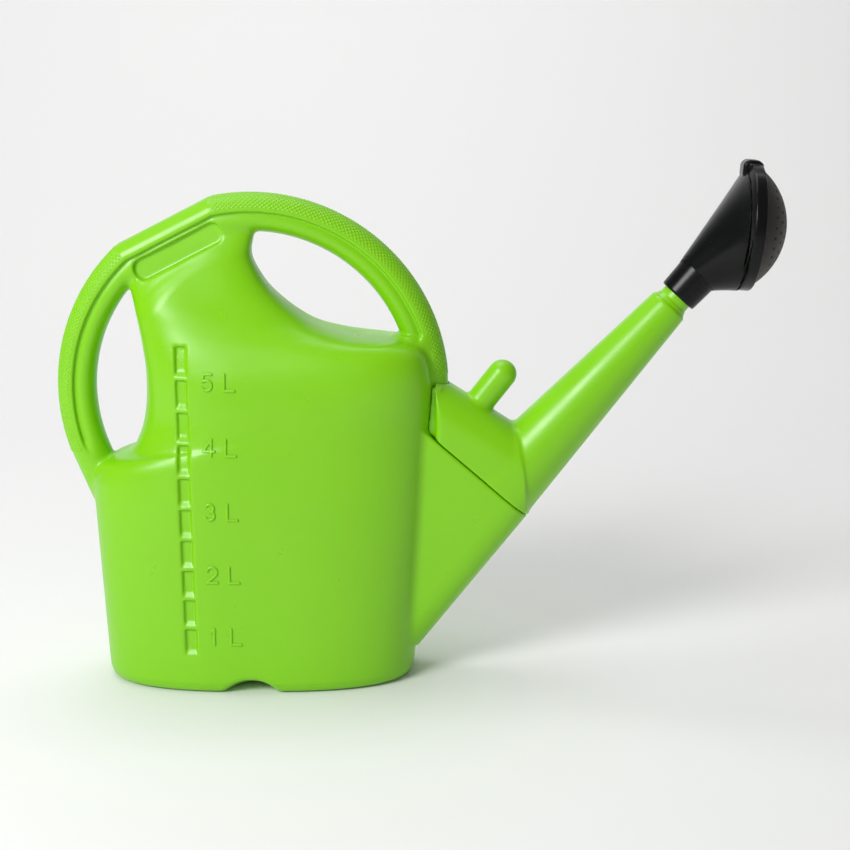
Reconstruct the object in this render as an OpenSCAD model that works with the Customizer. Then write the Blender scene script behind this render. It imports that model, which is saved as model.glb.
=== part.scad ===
// Five litre watering can with an arched carrying handle, a long spout and a turning rose.
// The tank stands on z = 0, +X points along the spout and Y = 0 is the plane of symmetry.

/* [Node] */
// Sub-part to show, or all of them together

/* [Moulding] */
// Wall thickness of the blow-moulded can
wall = 2.2; // [1.6:0.2:2.6]
// Wall thickness of the rose
rose_wall = 1.8; // [1.4:0.2:2.2]

/* [Handle arch] */
// Outer radius of the arch over the tank
arch_r = 142; // [140:1:144]
// Depth of the handle from crown to hand side
handle_depth = 27.5; // [25:0.5:30]
// Half width of the grip
grip_hw = 14.5; // [13:0.5:16]
// Height of the raised grip texture
grip_rise = 0.5; // [0.3:0.1:0.8]

/* [Tank] */
// Roundness of the plan: 2 is an ellipse, larger is squarer
plan_power = 2.6; // [2.4:0.1:3]
// Height of the one litre mark above the floor
first_litre_z = 54.5; // [50:0.5:58]
// Distance from one litre mark to the next
litre_step = 44.8; // [43:0.2:46]
// Width of the filling mouth under the bridge
mouth_w = 64; // [50:1:66]
// Height of the filling mouth down the slope of the neck
mouth_h = 32; // [24:1:34]

/* [Spout] */
// Slope of the spout's centre line above the floor, in degrees
spout_tilt = 48.1; // [47.5:0.1:48.7]
// Radius of the cone where the rose end starts
cone_tip_r = 14.5; // [14:0.1:15]
// Radius of the tip that the rose pushes onto
tip_r = 11.4; // [11:0.1:11.8]
// Radius of the parking peg
peg_r = 10.5; // [10:0.1:11]

/* [Rose] */
// Radius of the rose's rim
rim_r = 45.5; // [44:0.5:47]
// Height of the domed face above the rim
dome_h = 22; // [16:1:24]
// Rings of spray holes round the centre hole
hole_rings = 5; // [3:1:5]
// Radius of one spray hole
hole_r = 0.8; // [0.6:0.1:1]

/* [Hidden] */
eps = 0.02;
lime = [0.45, 0.80, 0.12];
lime_deep = [0.40, 0.74, 0.10];
black = [0.09, 0.09, 0.10];

// Stations up the tank: rear point x, z, front point x, z, and half width. They are level at
// the base and fan out above the shoulder, so the front points follow the hand hole's edge.
stations = [
    [-106.5, 0, 106.5, 0, 52], [-110.8, 2.2, 111, 2.2, 56.5], [-113, 6, 113.2, 6, 58.8],
    [-114, 12, 114.3, 12, 59.8], [-117.2, 70, 118.8, 72, 59], [-120.6, 135, 124, 135, 57],
    [-120.8, 150, 126, 165, 56], [-116.5, 160, 127.2, 185, 55.2], [-106, 167, 128, 200, 54.5],
    [-93, 174, 128, 212, 53.8], [-84.5, 186, 127, 225, 53], [-80.5, 202, 123.5, 238, 51.8],
    [-79.2, 220, 117, 247, 49.5], [-79.6, 236, 107, 252.6, 46], [-81.5, 252, 91, 254, 42],
    [-84, 266, 70, 253.4, 37.5], [-87, 279, 45, 259.5, 33], [-90, 289, 27, 271, 28],
    [-92.5, 297, 12, 285, 22], [-94.5, 303, 3, 299, 18], [-95, 309, -2.5, 312, 14.8],
    [-92, 315, -1, 325, 13.5], [-88, 326, 4, 340, 12.5]];

// Handle arch, as angles about its centre from +X towards +Z
arch_c = [-3.2, 214.4];
hand_r = arch_r - handle_depth;
groove_r = arch_r - 12.5;
bead_hw = grip_hw - 1.5;
bead_h = 9;
front_end = 0;
grip_end = 4.4;
front_merge = 26;
bridge_front = 102;
bridge_rear = 132;
rear_merge = 190;
rear_end = 203;
slice_h = 0.4;
joint_gap = 0.05;
panel_hw = 10.5;
bridge_depth = 19.5;
panel_low_r = 104;

// Litre scale on the near wall
scale_x = -46.2;
window_w = 9.2;
window_deep = 1.7;
label_x = -33;
label_h = 12;
label_low = 38.2;
label_step = 45.8;
stroke_r = 0.85;
label_rise = 0.7;

// Spout: distances are measured back from the cone's end along its centre line
cone_end = [298.5, 275.8];
cone_grow = 0.0752;
cone_len = 140;
block_hw = 27.5;
root_hw = 26.3;
seam_top = [129.2, 180.9];
seam_low = [196, 123.1];
root_low = [117.4, 20.7];
block_rear_x = 130;
block_top = [block_rear_x, 222.5];
crease = [187, 190];
tip_len = 31;
tip_bore_r = tip_r - 2.4;
peg_tilt = 52;
peg_top = [178, 224.9];
peg_len = 23;
peg_foot_r = peg_r + 0.8;

// Rose: distances are measured forward from the cone's end
socket_start = 8;
socket_len = 30;
socket_r = 14.35;
socket_flare = 1.6;
fit_gap = 0.05;
seal_at = 18;
seal_r = 0.85;
rim_c = [349, 332];
rim_tilt = -4;
rim_len = 8.4;
rim_wall = 3.4;
hood_r = rim_r - 1.5;

function mix(a, b, t) = a + (b - a) * t;
function spread(c, p) = sign(c) * pow(abs(c), 2 / p);
function oval(a, b, p, n = 48) =
    [for (i = [0 : n - 1]) [a * spread(cos(360 * i / n), p), b * spread(sin(360 * i / n), p)]];
function arc(c, r, a0, a1, n = 7) =
    [for (i = [0 : n]) c + r * [cos(mix(a0, a1, i / n)), sin(mix(a0, a1, i / n))]];
function spout_dir() = [cos(spout_tilt), sin(spout_tilt)];
function on_spout(forward) = cone_end + forward * spout_dir();
function cone_r(back) = cone_tip_r + cone_grow * back;

// Handle section: a wide grip lobe outside a groove, and a rounded bead on the hand's side
function lobe(c, depth, hw, a0, a1) =
    [for (i = [0 : 12]) [c + depth * cos(mix(a0, a1, i / 12)), hw * sin(mix(a0, a1, i / 12))]];
function handle_outline(crown_drop = 0) =
    concat(lobe(groove_r, arch_r - crown_drop - groove_r, grip_hw, -90, 90),
           [[groove_r - 0.6, grip_hw - 2.2]],
           lobe(hand_r + bead_h, bead_h, bead_hw, 90, 270),
           [[groove_r - 0.6, 2.2 - grip_hw]]);
function inner_oval(depth_inset, hw) =
    [for (a = [0 : 15 : 345]) [(arch_r + hand_r) / 2 + (handle_depth / 2 - depth_inset) * cos(a),
                               hw * sin(a)]];
function channel_outline() = inner_oval(wall, bead_hw - wall);

// One thin slice of the tank, drawn in by a thickness
module slice(s, inset) {
    rear = [s[0], s[1]];
    front = [s[2], s[3]];
    middle = (rear + front) / 2;
    run = front - rear;
    lift = max(0, slice_h / 2 - s[1] + inset);
    translate([middle.x, 0, middle.y + lift])
        rotate([0, -atan2(run.y, run.x), 0])
            linear_extrude(slice_h, center = true)
                polygon(oval(norm(run) / 2 - inset, s[4] - inset, plan_power));
}

module tank_form(inset = 0) {
    for (k = [0 : len(stations) - 2])
        hull() {
            slice(stations[k], inset);
            slice(stations[k + 1], inset);
        }
}

// Everything beyond a radius of the arch, between two angles
module arch_zone(r, from, to) {
    translate([arch_c.x, 0, arch_c.y])
        rotate([90, 0, 0])
            rotate([0, 0, from])
                rotate_extrude(angle = to - from, $fn = 160)
                    translate([r, -70])
                        square([60, 140]);
}

// What the neck leaves free for the handles and for the bridge between them
module arch_space(inset = 0) {
    half = (bridge_rear - bridge_front) / 2;
    arch_zone(hand_r - inset, front_merge, bridge_front);
    arch_zone(hand_r - inset, bridge_rear, rear_merge);
    if (inset > 0)
        arch_zone(hand_r - inset, bridge_front - 1, bridge_rear + 1);
    else
        intersection() {
            arch_zone(hand_r - 20, bridge_front, bridge_rear);
            beyond_chord(arch_r * cos(half) - bridge_depth);
        }
}

// Everything farther out than a line square to the middle of the bridge
module beyond_chord(distance) {
    translate([arch_c.x, 0, arch_c.y])
        rotate([90, 0, 0])
            rotate([0, 0, (bridge_front + bridge_rear) / 2])
                translate([distance, -100, -70])
                    cube([100, 200, 140]);
}

// Arc of a section about the arch's centre
module arch(from, to, outline) {
    translate([arch_c.x, 0, arch_c.y])
        rotate([90, 0, 0])
            rotate([0, 0, from])
                rotate_extrude(angle = to - from, $fn = 120)
                    polygon(outline);
}

// Ends of the arch that are moulded into the tank
module arch_stubs() {
    arch(front_end, front_merge - joint_gap, handle_outline());
    arch(rear_merge + joint_gap, rear_end, handle_outline());
    // Foot that carries the rear end down on to the wall
    hull() {
        arch(rear_end - 3.3, rear_end + 0.6, inner_oval(0.8, bead_hw));
        translate([stations[5][0] + 3, -9, stations[5][1] - 8])
            cube([2, 18, 12]);
    }
}

module arch_channel() {
    arch(front_end + 4, front_merge + 1, channel_outline());
    arch(rear_merge - 1, rear_end + 5, channel_outline());
}

// The neck draws in to the handle's width as it nears the arch
module neck_taper(inset = 0) {
    translate([arch_c.x, 0, arch_c.y])
        rotate([90, 0, 0]) {
            rotate([0, 0, 50])
                rotate_extrude(angle = 130, $fn = 160)
                    polygon([[0, -70], [84, -70], [90, inset - 40], [100, inset - 27],
                             [108, inset - 18], [hand_r + 10, inset - 13.5],
                             [hand_r + 10, 13.5 - inset], [108, 18 - inset],
                             [100, 27 - inset], [90, 40 - inset], [84, 70], [0, 70]]);
            rotate([0, 0, 180 - eps])
                rotate_extrude(angle = 230 + 2 * eps, $fn = 160)
                    translate([0, -70])
                        square([320, 140]);
        }
}

// Rounded slab across the neck under the bridge, for the sunk panel and for the mouth
module under_bridge(width, r_low, r_high, corner) {
    middle = (bridge_front + bridge_rear) / 2;
    translate([arch_c.x, 0, arch_c.y])
        rotate([90, 0, 0])
            rotate([0, 0, middle])
                linear_extrude(60)
                    translate([(r_low + r_high) / 2, 0])
                        offset(r = corner, $fn = 24)
                            square([r_high - r_low - 2 * corner, width - 2 * corner], center = true);
}

module panel_recess() {
    translate([0, -panel_hw, 0])
        under_bridge(72, panel_low_r, hand_r + 8, 6);
}

module mouth() {
    mirror([0, 1, 0])
        under_bridge(mouth_w, hand_r - mouth_h - 3, hand_r - 3, 11);
}

// Litre scale: ten windows sunk into the wall, each with a shallower step at its foot
module scale_windows() {
    half = litre_step / 2;
    for (k = [1 : 10]) {
        z_low = first_litre_z + (k - 2) * half + 1.4;
        window_pocket(z_low + 4, z_low + half - 2.2, window_deep);
        window_pocket(z_low, z_low + 5, window_deep / 2);
    }
}

module window_pocket(z_low, z_high, deep) {
    intersection() {
        difference() {
            tank_form(-1);
            tank_form(deep);
        }
        translate([scale_x - window_w / 2, -70, z_low])
            cube([window_w, 60, z_high - z_low]);
    }
}

// The wall is moulded inwards behind the windows
module scale_backing() {
    difference() {
        translate([scale_x - window_w / 2 - 3, -70, first_litre_z - litre_step / 2 - 3])
            cube([window_w + 6, 60, 5 * litre_step + 8]);
        tank_form(wall + window_deep);
    }
}

// Finger notch moulded up into the base edge, one on each long side
module base_notch() {
    for (side = [-1, 1])
        hull() {
            translate([-4, side * 62, -14.5])
                rotate([90, 0, 0])
                    cylinder(h = eps, r = 27, center = true, $fn = 64);
            translate([-4, side * 36, -22])
                rotate([90, 0, 0])
                    cylinder(h = eps, r = 24, center = true, $fn = 64);
        }
}

module base_notch_backing() {
    minkowski() {
        base_notch();
        sphere(wall, $fn = 12);
    }
}

module tank_cavity() {
    difference() {
        intersection() {
            tank_form(wall);
            neck_taper(wall);
        }
        arch_space(wall);
        base_notch_backing();
        scale_backing();
        translate([0, wall - panel_hw, 0])
            under_bridge(80, panel_low_r - wall, hand_r + 8, 6);
    }
}

module tank_outer() {
    difference() {
        intersection() {
            tank_form();
            neck_taper();
        }
        arch_space();
    }
    arch_stubs();
}

module tank() {
    color(lime)
        difference() {
            tank_outer();
            tank_cavity();
            arch_channel();
            root_form(wall);
            panel_recess();
            mouth();
            base_notch();
            scale_windows();
        }
}

// Plain bar that bridges the neck between the two grips
module handle_bridge() {
    half = (bridge_rear - bridge_front) / 2;
    chord = arch_r * sin(half);
    color(lime)
        translate([arch_c.x, 0, arch_c.y])
            rotate([90, 0, 0])
                rotate([0, 0, bridge_front + half])
                    difference() {
                        intersection() {
                            bridge_bar(chord, handle_outline());
                            rotate([0, 0, -half])
                                rotate_extrude(angle = 2 * half, $fn = 160)
                                    translate([hand_r - 20, -70])
                                        square([80, 140]);
                            translate([arch_r * cos(half) - bridge_depth, -100, -50])
                                cube([100, 200, 100]);
                        }
                        bridge_bar(chord + 1, bridge_channel());
                    }
}

function bridge_channel() =
    [for (a = [0 : 15 : 345]) [arch_r - bridge_depth / 2 + (bridge_depth / 2 - wall) * cos(a),
                               (bead_hw - wall) * sin(a)]];

module bridge_bar(half_len, outline) {
    half = (bridge_rear - bridge_front) / 2;
    rotate([90, 0, 0])
        linear_extrude(2 * half_len, center = true)
            translate([arch_r * (cos(half) - 1), 0])
                polygon(outline);
}

module hollow_arch(from, to) {
    difference() {
        arch(from, to, handle_outline());
        arch(from - 1, to + 1, channel_outline());
    }
}

module rear_handle() {
    color(lime)
        hollow_arch(bridge_rear, rear_merge);
}

module front_handle() {
    color(lime)
        hollow_arch(front_merge, bridge_front);
}

// Knurled skin on the crown of a handle
module grip(from, to) {
    crown = arch_r - groove_r;
    reach = 75;
    color(lime_deep)
        arch(from, to, concat(
            [for (a = [-reach : 15 : reach])
                [groove_r + (crown + grip_rise) * cos(a), (grip_hw + grip_rise) * sin(a)]],
            [for (a = [reach : -15 : -reach])
                [groove_r + (crown + joint_gap) * cos(a), (grip_hw + joint_gap) * sin(a)]]));
}

module rear_grip() {
    grip(bridge_rear + 0.2, rear_end - 2);
}

module front_grip() {
    grip(grip_end, bridge_front - 0.2);
}

// Strokes of the generic numerals, in a box of height 1
function glyph(c) =
    c == "1" ? [[[0.12, 0.78], [0.34, 1], [0.34, 0]]] :
    c == "2" ? [concat(arc([0.3, 0.7], 0.3, 170, -35), [[0, 0], [0.6, 0]])] :
    c == "3" ? [concat(arc([0.28, 0.76], 0.24, 150, -80), arc([0.28, 0.28], 0.28, 80, -150))] :
    c == "4" ? [[[0.46, 0], [0.46, 1], [0, 0.3], [0.62, 0.3]]] :
    c == "5" ? [concat([[0.56, 1], [0.1, 1], [0.05, 0.56]], arc([0.27, 0.32], 0.32, 120, -140))] :
    [[[0, 1], [0, 0], [0.5, 0]]];

module stroke(points) {
    for (i = [0 : len(points) - 2])
        hull()
            for (p = [points[i], points[i + 1]])
                translate(p * label_h)
                    circle(stroke_r, $fn = 8);
}

module litre_marks() {
    color(lime)
        intersection() {
            difference() {
                tank_form(-label_rise);
                tank_form();
            }
            for (litre = [1 : 5])
                translate([label_x, -20, label_low + (litre - 1) * label_step])
                    rotate([90, 0, 0])
                        linear_extrude(60) {
                            for (line = glyph(str(litre)))
                                stroke(line);
                            translate([16.5, 0])
                                for (line = glyph("L"))
                                    stroke(line);
                        }
        }
}

// Half space on one side of the seam between the tank's wedge and the spout
module seam_side(above) {
    run = seam_low - seam_top;
    translate([seam_top.x, 0, seam_top.y])
        rotate([0, -atan2(run.y, run.x), 0])
            translate([-200, -100, above ? 0 : -400])
                cube([500, 200, 400]);
}

module disc(at, r, tilt, h = eps) {
    translate([at.x, 0, at.y])
        rotate([0, 90 - tilt, 0])
            cylinder(h = h, r = r, center = true, $fn = 64);
}

// Wedge that is moulded on the tank and carries the spout
module root_form(inset = 0) {
    run = seam_low - root_low;
    tilt = atan2(run.y, run.x);
    side = [-sin(tilt), cos(tilt)];
    r = root_hw - inset;
    hull() {
        disc(root_low + side * root_hw, r, tilt);
        disc(seam_low + side * root_hw + 20 * [cos(tilt), sin(tilt)], r, tilt);
        translate([100, -r, 60])
            cube([5, 2 * r, 130]);
        translate([block_rear_x + inset, -r, 60])
            cube([2, 2 * r, 135]);
    }
}

module spout_root() {
    color(lime)
        difference() {
            root_form();
            root_form(wall);
            tank_outer();
            seam_side(above = true);
        }
}

// Upper wedge with the flat back that stands against the tank
module block_form(inset = 0) {
    hull() {
        translate([block_rear_x + inset, 0, seam_top.y - 4])
            linear_extrude(block_top.y - seam_top.y + 4 - inset)
                offset(r = 3, $fn = 16)
                    translate([3, 3 - block_hw + inset])
                        square([1, 2 * (block_hw - inset) - 6]);
        disc(on_spout(-cone_len), cone_r(cone_len) - inset, spout_tilt);
        disc(on_spout(-188), cone_r(185) - 0.4 - inset, spout_tilt);
    }
}

module spout_block() {
    color(lime)
        difference() {
            union() {
                block_form();
                // Narrower neck that fills the gap back to the tank's rounded front
                translate([110, 2 - block_hw, seam_top.y])
                    cube([22, 2 * block_hw - 4, block_top.y - seam_top.y - 2]);
            }
            block_form(wall);
            tank_outer();
            seam_side(above = false);
            peg_hollow();
            disc(on_spout(-cone_len + 10), cone_r(cone_len) - wall + 0.4, spout_tilt, 26);
        }
}

module spout_cone() {
    color(lime)
        along_spout(-cone_len)
            difference() {
                cylinder(h = cone_len, r1 = cone_r(cone_len), r2 = cone_tip_r, $fn = 64);
                translate([0, 0, -eps])
                    cylinder(h = cone_len + 2 * eps, r1 = cone_r(cone_len) - wall,
                             r2 = tip_bore_r, $fn = 64);
            }
}

module along_spout(forward) {
    at = on_spout(forward);
    translate([at.x, 0, at.y])
        rotate([0, 90 - spout_tilt, 0])
            children();
}

module spout_tip() {
    color(lime)
        along_spout(0)
            difference() {
                union() {
                    cylinder(h = tip_len - 1, r = tip_r, $fn = 64);
                    translate([0, 0, tip_len - 1])
                        cylinder(h = 1, r1 = tip_r, r2 = tip_r - 0.8, $fn = 64);
                }
                translate([0, 0, -eps])
                    cylinder(h = tip_len + 2 * eps, r = tip_bore_r, $fn = 64);
            }
}

module along_peg() {
    translate([peg_top.x, 0, peg_top.y])
        rotate([0, 90 - peg_tilt, 0])
            children();
}

module peg_hollow() {
    along_peg() {
        translate([0, 0, -34])
            cylinder(h = 34, r = peg_r - wall, $fn = 48);
        sphere(peg_r - wall, $fn = 48);
    }
}

// Closed peg that holds the rose when it is off the spout
module rose_peg() {
    run = crease - block_top;
    color(lime)
        difference() {
            along_peg() {
                translate([0, 0, -peg_len])
                    cylinder(h = peg_len, r = peg_r, $fn = 48);
                translate([0, 0, -30])
                    cylinder(h = 30 - peg_len, r = peg_foot_r, $fn = 48);
                sphere(peg_r, $fn = 48);
            }
            peg_hollow();
            translate([block_top.x, 0, block_top.y])
                rotate([0, -atan2(run.y, run.x), 0])
                    translate([-50, -50, -60])
                        cube([150, 100, 60]);
        }
}

module socket_form() {
    cylinder(h = socket_len, r1 = socket_r, r2 = socket_r + socket_flare, $fn = 64);
}

module rose_socket() {
    color(black)
        along_spout(socket_start)
            difference() {
                socket_form();
                translate([0, 0, -eps])
                    cylinder(h = tip_len - socket_start + 0.5, r = tip_r + fit_gap, $fn = 64);
                cylinder(h = socket_len + eps, r = tip_bore_r, $fn = 64);
                translate([0, 0, seal_at - socket_start])
                    rotate_extrude($fn = 64)
                        translate([tip_r, -seal_r - 0.05])
                            square([2 * seal_r + 0.1, 2 * seal_r + 0.1]);
            }
}

// Sealing ring that grips the tip inside the socket
module rose_seal() {
    color([0.2, 0.2, 0.2])
        along_spout(seal_at)
            rotate_extrude($fn = 64)
                translate([tip_r + fit_gap + seal_r, 0])
                    circle(seal_r, $fn = 16);
}

module along_rim(forward = 0) {
    translate([rim_c.x, 0, rim_c.y])
        rotate([0, 90 - rim_tilt, 0])
            translate([0, 0, forward])
                children();
}

// Hood: rings whose tops lie on one straight line from the socket up to the rim
module hood_ring(t, inset) {
    low = on_spout(socket_start + 2) + (socket_r - 1) * [-sin(spout_tilt), cos(spout_tilt)];
    high = rim_c + hood_r * [-sin(rim_tilt), cos(rim_tilt)];
    tilt = mix(spout_tilt, rim_tilt, t);
    r = mix(7.5, hood_r, pow(t, 1.5));
    disc(mix(low, high, t) - r * [-sin(tilt), cos(tilt)], r - inset, tilt);
}

module hood_form(inset, from) {
    rings = 5;
    for (k = [0 : rings - 1])
        hull() {
            hood_ring(mix(from, 1, k / rings), inset);
            hood_ring(mix(from, 1, (k + 1) / rings), inset);
        }
}

module rose_hood() {
    color(black)
        difference() {
            hood_form(0, 0);
            hood_form(rose_wall, 0.3);
            along_rim(-0.1)
                cylinder(h = 1, r = hood_r - rose_wall, $fn = 64);
            along_rim(0)
                cylinder(h = 4, r = hood_r + 1, $fn = 64);
            along_spout(socket_start)
                socket_form();
        }
}

module rose_rim() {
    color(black)
        difference() {
            union() {
                along_rim()
                    cylinder(h = rim_len, r = rim_r, $fn = 64);
                // Small pull tab at the top
                along_rim()
                    translate([-rim_r - 1.5, -5, 0])
                        cube([5, 10, rim_len + 4]);
            }
            along_rim(-2)
                cylinder(h = rim_len + 5, r = rim_r - rim_wall, $fn = 64);
        }
}

// Domed face with the spray holes in rings
module rose_face() {
    seat_r = rim_r - rim_wall;
    ball = (seat_r * seat_r + dome_h * dome_h) / (2 * dome_h);
    ring_gap = (seat_r - 8) / hole_rings;
    color(black)
        along_rim(rim_len)
            difference() {
                intersection() {
                    translate([0, 0, dome_h - ball])
                        sphere(ball, $fn = 96);
                    translate([0, 0, -4])
                        cylinder(h = dome_h + 5, r = seat_r, $fn = 64);
                }
                translate([0, 0, dome_h - ball])
                    sphere(ball - rose_wall, $fn = 96);
                for (ring = [0 : hole_rings])
                    for (i = [0 : max(1, 6 * ring) - 1])
                        rotate([0, 0, i * 360 / max(1, 6 * ring)])
                            translate([ring * ring_gap, 0, -3])
                                cylinder(h = dome_h + 5, r = hole_r, $fn = 10);
            }
}

tank();
handle_bridge();
rear_handle();
front_handle();
rear_grip();
front_grip();
litre_marks();
spout_root();
spout_block();
spout_cone();
spout_tip();
rose_peg();
rose_seal();
rose_socket();
rose_hood();
rose_rim();
rose_face();
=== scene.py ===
import math

import bpy
import numpy as np
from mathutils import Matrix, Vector


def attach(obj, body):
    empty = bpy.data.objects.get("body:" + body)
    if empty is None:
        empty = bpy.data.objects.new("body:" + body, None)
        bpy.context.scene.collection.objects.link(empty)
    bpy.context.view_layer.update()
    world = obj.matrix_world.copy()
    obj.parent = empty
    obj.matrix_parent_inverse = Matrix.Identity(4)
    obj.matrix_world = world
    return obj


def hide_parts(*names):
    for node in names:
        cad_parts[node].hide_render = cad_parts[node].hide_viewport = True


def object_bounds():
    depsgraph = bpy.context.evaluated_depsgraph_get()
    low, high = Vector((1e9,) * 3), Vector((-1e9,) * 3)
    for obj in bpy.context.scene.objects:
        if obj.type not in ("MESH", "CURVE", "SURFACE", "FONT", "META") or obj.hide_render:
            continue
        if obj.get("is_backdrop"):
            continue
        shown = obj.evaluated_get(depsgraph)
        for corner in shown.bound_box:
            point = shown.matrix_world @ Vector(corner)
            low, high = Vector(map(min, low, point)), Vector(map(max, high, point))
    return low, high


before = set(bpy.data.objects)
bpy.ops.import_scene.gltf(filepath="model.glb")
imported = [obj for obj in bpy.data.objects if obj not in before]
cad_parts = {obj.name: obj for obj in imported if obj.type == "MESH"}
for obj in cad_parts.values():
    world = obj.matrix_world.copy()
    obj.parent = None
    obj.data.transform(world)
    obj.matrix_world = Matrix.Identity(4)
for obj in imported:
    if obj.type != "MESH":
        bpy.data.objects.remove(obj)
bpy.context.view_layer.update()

# Shapes are worked out in millimetres, in the part's own frame, and written to meshes in metres.
MM = 0.001
CELL = 1.15       # grid of the large mouldings
FINE = 0.55       # grid of the rose
DIGIT_CELL = 0.3  # grid of the raised numerals

# ---------------------------------------------------------------- sizes of the real object

PLAN_POWER = 2.6            # how square the tank's plan is: 2 is an ellipse
WALL = 3.0        # the coarse grid can't hold the real wall
# Tank slices: rear x, rear z, front x, front z, half width
STATIONS = [
    (-106.5, 0, 106.5, 0, 53), (-110.8, 2.2, 111, 2.2, 56.8), (-113, 6, 113.2, 6, 58.8),
    (-114, 12, 114.3, 12, 59.8), (-117.2, 70, 118.8, 72, 59), (-120.6, 132, 124, 135, 57.2),
    (-120.6, 148, 126, 165, 56), (-116.5, 159, 127.2, 185, 55.2), (-106, 165.6, 128, 200, 54.5),
    (-93, 170.6, 128, 212, 53.8), (-84.8, 186, 127, 225, 53), (-81, 202, 124.5, 237, 51.8),
    (-79.4, 220, 119.5, 246, 49.5), (-79.6, 235, 110, 250.8, 46), (-81.5, 249, 93, 253, 42),
    (-84, 263, 72, 255.6, 37.5), (-87, 277, 47, 262, 33), (-90, 288, 28, 273, 28.5),
    (-92.5, 297, 12, 287, 24.5), (-94.5, 304, 3, 299.5, 21), (-95, 310, -2.5, 312, 18),
    (-92, 316, -1, 325, 16), (-88, 326, 4, 340, 15)]
NECK_POWER = 1.0            # the shoulders and neck are squarer by this much

ARCH = (-3.2, 214.4)        # centre of the ring handle, x and z
ARCH_R = 142.0
HAND_R = 114.5
GROOVE_R = 129.5
GRIP_HW = 14.5
BEAD_HW = 13.0
BEAD_H = 9.0
FRONT_END, REAR_END = -2.0, 202.0            # angles of the handle's ends, degrees
RUN_OUT = 33.0              # straight run from the rear end down into the tank's wall
GRIP_END = 4.2              # the front grip stops above the spout's shoulder
BRIDGE_FRONT, BRIDGE_REAR = 102.0, 132.0     # angles of the plain bar over the neck
PANEL_Y, PANEL_LEAN = 9.4, 0.15              # the sunk panel under the bar and its lean
PANEL_LOW, PANEL_HIGH, PANEL_HALF = 105.4, 120.8, 34.5
MOUTH_OUT, MOUTH_HALF, MOUTH_CORNER = 95.5, (32, 16), 11     # filling mouth
NOTCH_AT, NOTCH_R = (-4.0, -14.5), 27.0     # finger notch in the base edge

SCALE_X, SCALE_LEAN = -46.2, 0.02            # litre scale, and how it leans back with height
SCALE_LOW, SCALE_STEP, SCALE_GROW = 28.3, 21.25, 0.116
WINDOW_W = 9.6
WINDOW_DEEP = 2.8
LABEL_X, LABEL_LEAN = -33.2, 0.45    # the numerals shift back a little from litre to litre
LABEL_H = 11.4
LABEL_LOW_1 = 38.2
LABEL_STEP = 45.9
LABEL_RISE = 1.1
STROKE_R = 1.15

CONE_END = (298.5, 275.8)   # spout
SPOUT_TILT = 48.1
CONE_TIP_R = 14.5
CONE_GROW = 0.0752
CONE_BACK, BORE_BACK = 200.0, 120.0          # how far the cone and its bore run back
CONE_WALL, BORE_DRAFT = 3.0, 2.5 / 140
TIP_R = 11.4
TIP_LEN = 31.0
BORE_R = 9.0
SEAM_TOP, SEAM_LOW, ROOT_LOW = (129.2, 180.9), (197.6, 121.7), (117.4, 20.7)
BLOCK_TOP, CREASE, CREASE_LOW = (129.2, 225.4), (187.0, 188.6), (192.0, 160.0)
SEAM_GAP = 0.12
ROOT_HW, BLOCK_HW, HEEL_HW = 26.3, 27.3, 20.0
PEG_TOP, PEG_TILT, PEG_R = (178.0, 224.9), 52.0, 10.5

SOCKET_START, SOCKET_LEN, SOCKET_R, SOCKET_FLARE = 8.0, 30.0, 14.35, 1.6   # rose
RIM_C, RIM_TILT, RIM_LEN, RIM_R, RIM_WALL = (349.0, 332.0), -4.0, 8.4, 45.5, 3.4
DOME_H, HOLE_R, HOLE_RINGS = 22.0, 0.8, 5
HOOD_R = RIM_R - 1.0
ROSE_WALL = 1.8
ROSE_GAP = 0.15             # between the rose's pieces

DEG = math.pi / 180
SPOUT_DIR = (math.cos(SPOUT_TILT * DEG), math.sin(SPOUT_TILT * DEG))


# ---------------------------------------------------------------- distance fields

def smin(a, b, k):
    """Union with a fillet about k wide."""
    h = np.maximum(k - np.abs(a - b), 0) / k
    return np.minimum(a, b) - h * h * k / 4


def smax(a, b, k):
    """Intersection with a rounded edge about k wide."""
    return -smin(-a, -b, k)


def smooth(x, lo, hi):
    t = np.clip((x - lo) / (hi - lo), 0, 1)
    return t * t * (3 - 2 * t)


def polygon(points, x, z):
    """Signed distance to a closed outline in the x-z plane."""
    best = np.full(np.broadcast(x, z).shape, 1e12, np.float32)
    inside = np.zeros(best.shape, bool)
    for i in range(len(points)):
        (ax, az), (bx, bz) = points[i - 1], points[i]
        ex, ez = bx - ax, bz - az
        t = np.clip(((x - ax) * ex + (z - az) * ez) / (ex * ex + ez * ez), 0, 1)
        best = np.minimum(best, (x - ax - t * ex) ** 2 + (z - az - t * ez) ** 2)
        if ez:
            crosses = ((z < az) != (z < bz)) & (x < ax + (z - az) * ex / ez)
            inside ^= crosses
    d = np.sqrt(best)
    return np.where(inside, -d, d)


def round_rect(a, b, half_a, half_b, corner):
    qa, qb = np.abs(a) - half_a + corner, np.abs(b) - half_b + corner
    out = np.hypot(np.maximum(qa, 0), np.maximum(qb, 0))
    return out + np.minimum(np.maximum(qa, qb), 0) - corner


def ellipse(a, b, ra, rb):
    k1 = np.hypot(a / ra, b / rb)
    k2 = np.hypot(a / (ra * ra), b / (rb * rb)) + 1e-6
    return k1 * (k1 - 1) / k2


def half_plane(p, q, x, z):
    """Distance above the line from p to q."""
    run = math.hypot(q[0] - p[0], q[1] - p[1])
    return ((q[0] - p[0]) * (z - p[1]) - (q[1] - p[1]) * (x - p[0])) / run


def along(at, tilt, x, z):
    """Forward and sideways coordinates of an axis through a point in the x-z plane."""
    c, s = math.cos(tilt * DEG), math.sin(tilt * DEG)
    return (x - at[0]) * c + (z - at[1]) * s, (z - at[1]) * c - (x - at[0]) * s


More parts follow.
